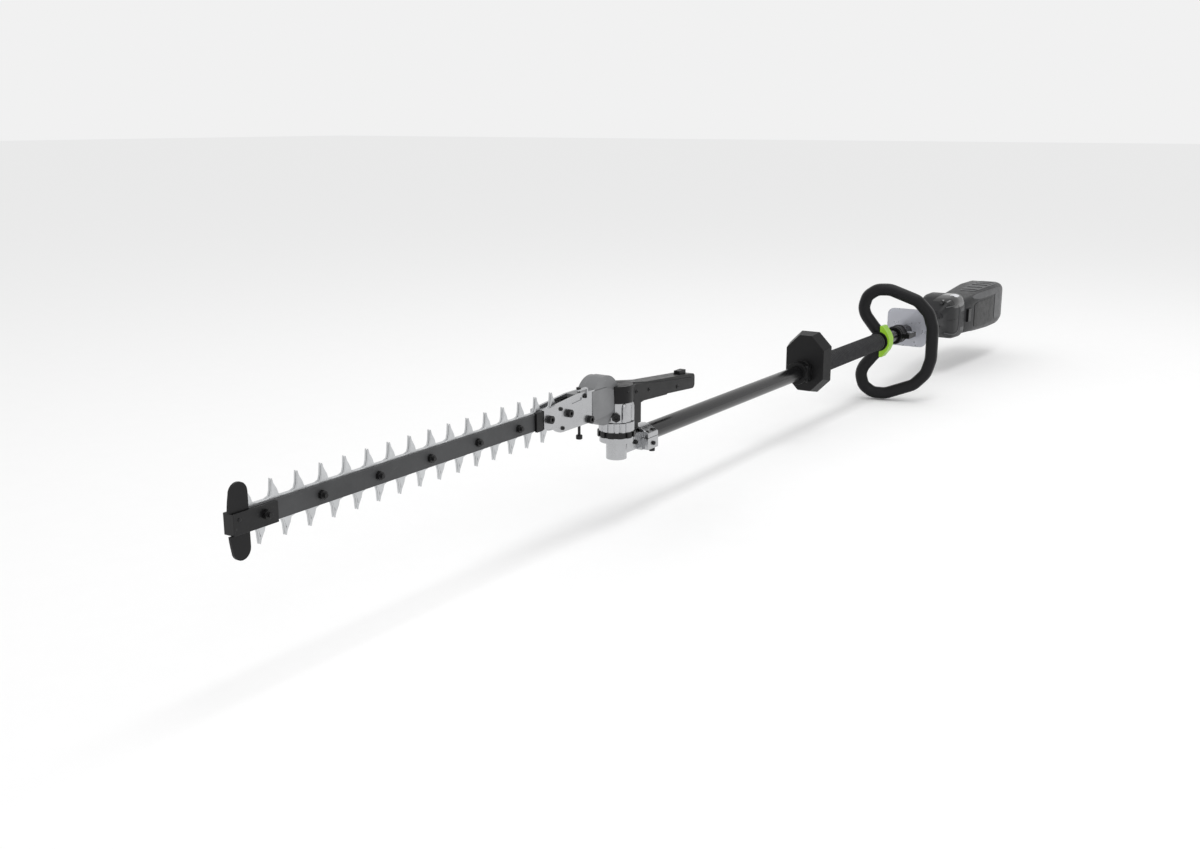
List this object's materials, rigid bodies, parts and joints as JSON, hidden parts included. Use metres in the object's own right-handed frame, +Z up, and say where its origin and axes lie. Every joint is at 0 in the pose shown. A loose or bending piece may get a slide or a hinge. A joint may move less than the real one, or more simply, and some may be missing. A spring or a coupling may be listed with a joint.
{
  "type": "pole hedge trimmer",
  "caption": "Long-shaft battery hedge trimmer with a swinging double-sided cutter head, loop handle, hand guard and rear battery housing.",
  "frame": {"origin": "centre of the tool's box at its lowest point", "axes": "+X runs along the shaft towards the battery, +Z is up with the tool on its side, -Y is the side uppermost in use"},
  "size_m": [2.4292, 0.1628, 0.2414],
  "materials": {
    "cast_aluminium": "satin cast",
    "dark_casting": "matt painted cast",
    "blade_steel": "ground",
    "gear_steel": "machined",
    "black_steel": "black oxide",
    "bar_paint": "satin",
    "tube_paint": "semi-gloss",
    "black_plastic": "fine grain",
    "housing_plastic": "fine grain",
    "dark_gloss": "gloss",
    "soft_grip": "matt",
    "loop_rubber": "matt",
    "lime_plastic": "satin",
    "clear_grey": "smooth",
    "copper": "wound wire"
  },
  "bodies": {
    "frame": {"elbow": "cast_aluminium", "pivot_sleeve": "gear_steel", "column_bearing": "gear_steel", "index_ring": "black_steel", "clamp_cap": "cast_aluminium", "clamp_bolt_near": "black_steel", "clamp_bolt_far": "black_steel", "shaft_tube": "tube_paint", "tube_bushing_front": "soft_grip", "tube_bushing_rear": "soft_grip", "hand_guard": "black_plastic", "front_grip": "soft_grip", "loop_handle": "loop_rubber", "loop_clamp": "lime_plastic", "harness_ring": "black_plastic", "hip_plate": "clear_grey", "housing_upper": "housing_plastic", "housing_lower": "housing_plastic", "motor_stator": "copper", "controller": "dark_gloss", "battery_dock": "black_plastic"},
    "head": {"gearcase_body": "dark_casting", "head_column": "cast_aluminium", "gearcase_cover": "dark_casting", "near_bracket": "cast_aluminium", "far_bracket": "cast_aluminium", "bracket_bolt_1": "black_steel", "bracket_bolt_2": "black_steel", "bracket_bolt_3": "black_steel", "guide_bar": "bar_paint", "tip_bracket": "black_steel", "tip_guard": "black_plastic", "tip_bolt": "black_steel", "bar_bolt_1": "black_steel", "bar_bolt_2": "black_steel", "bar_bolt_3": "black_steel", "bar_bolt_4": "black_steel", "bar_bolt_5": "black_steel", "bar_end_block": "black_plastic", "collar_ring": "cast_aluminium", "grease_plug": "black_steel", "adjust_handle_near": "black_plastic", "adjust_handle_far": "black_plastic", "lever_pin": "gear_steel"},
    "near_blade": {"near_blade": "blade_steel"},
    "far_blade": {"far_blade": "blade_steel"},
    "crank": {"crank_gear": "gear_steel"},
    "rod_near": {"con_rod_near": "gear_steel"},
    "rod_far": {"con_rod_far": "gear_steel"},
    "pinion": {"pinion_shaft": "gear_steel"},
    "upright": {"upright_shaft": "gear_steel"},
    "drive": {"drive_shaft": "gear_steel", "motor_rotor": "gear_steel"},
    "lever": {"release_lever": "black_plastic"},
    "lock_button": {"lock_button": "black_plastic"},
    "trigger": {"trigger": "black_plastic"},
    "lock_off": {"lock_off": "black_plastic"},
    "power_button": {"power_button": "dark_gloss"},
    "battery": {"battery": "housing_plastic"},
    "battery_latch": {"battery_latch": "black_plastic"}
  },
  "joints": [
    {"name": "head_swing", "type": "hinge", "parent": "frame", "child": "head", "pos_m": [-0.52042, 0.0304, 0.14372], "axis": [0, 0, 1], "range_deg": [-45, 90]},
    {"name": "near_blade_slide", "type": "slide", "parent": "head", "child": "near_blade", "axis": [1, 0, 0], "range_m": [-0.0085, 0.0085]},
    {"name": "far_blade_slide", "type": "slide", "parent": "head", "child": "far_blade", "axis": [1, 0, 0], "range_m": [-0.0085, 0.0085]},
    {"name": "drive_spin", "type": "hinge", "parent": "frame", "child": "drive", "pos_m": [0.17958, 0.0304, 0.12372], "axis": [1, 0, 0], "continuous": true},
    {"name": "upright_spin", "type": "hinge", "parent": "head", "child": "upright", "pos_m": [-0.52042, 0.0304, 0.14372], "axis": [0, 0, 1], "continuous": true},
    {"name": "pinion_spin", "type": "hinge", "parent": "head", "child": "pinion", "pos_m": [-0.52042, 0.0304, 0.17856], "axis": [0, 1, 0], "continuous": true},
    {"name": "crank_spin", "type": "hinge", "parent": "head", "child": "crank", "pos_m": [-0.56242, 0.0304, 0.19472], "axis": [0, 1, 0], "continuous": true},
    {"name": "rod_near_pivot", "type": "hinge", "parent": "crank", "child": "rod_near", "pos_m": [-0.56242, 0.0259, 0.20322], "axis": [0, 1, 0], "continuous": true},
    {"name": "rod_far_pivot", "type": "hinge", "parent": "crank", "child": "rod_far", "pos_m": [-0.56242, 0.0349, 0.18622], "axis": [0, 1, 0], "continuous": true},
    {"name": "release_lever", "type": "hinge", "parent": "head", "child": "lever", "pos_m": [-0.46942, 0.0304, 0.18472], "axis": [0, -1, 0], "range_deg": [0, 5], "stiffness_Nm_per_rad": 1.5},
    {"name": "lock_button", "type": "slide", "parent": "head", "child": "lock_button", "axis": [0, 0, -1], "range_m": [0, 0.0025], "stiffness_N_per_m": 400},
    {"name": "trigger", "type": "hinge", "parent": "frame", "child": "trigger", "pos_m": [0.70558, 0.0504, 0.12372], "axis": [0, 0, -1], "range_deg": [0, 10], "stiffness_Nm_per_rad": 0.5},
    {"name": "lock_off", "type": "slide", "parent": "frame", "child": "lock_off", "axis": [0, 1, 0], "range_m": [0, 0.003], "stiffness_N_per_m": 400},
    {"name": "power_button", "type": "slide", "parent": "frame", "child": "power_button", "axis": [1, 0, 0], "range_m": [0, 0.0015], "stiffness_N_per_m": 400},
    {"name": "battery_slide", "type": "slide", "parent": "frame", "child": "battery", "axis": [1, 0, 0], "range_m": [0, 0.055]},
    {"name": "battery_latch", "type": "slide", "parent": "battery", "child": "battery_latch", "axis": [0, 1, 0], "range_m": [0, 0.002], "stiffness_N_per_m": 400}
  ],
  "couplings": [
    {"joint": "far_blade_slide", "follows": "near_blade_slide", "ratio": -1},
    {"joint": "upright_spin", "follows": "drive_spin", "ratio": 1},
    {"joint": "pinion_spin", "follows": "drive_spin", "ratio": -0.75},
    {"joint": "crank_spin", "follows": "drive_spin", "ratio": 0.375},
    {"joint": "rod_near_pivot", "follows": "drive_spin", "ratio": -0.375},
    {"joint": "rod_far_pivot", "follows": "drive_spin", "ratio": -0.375}
  ]
}
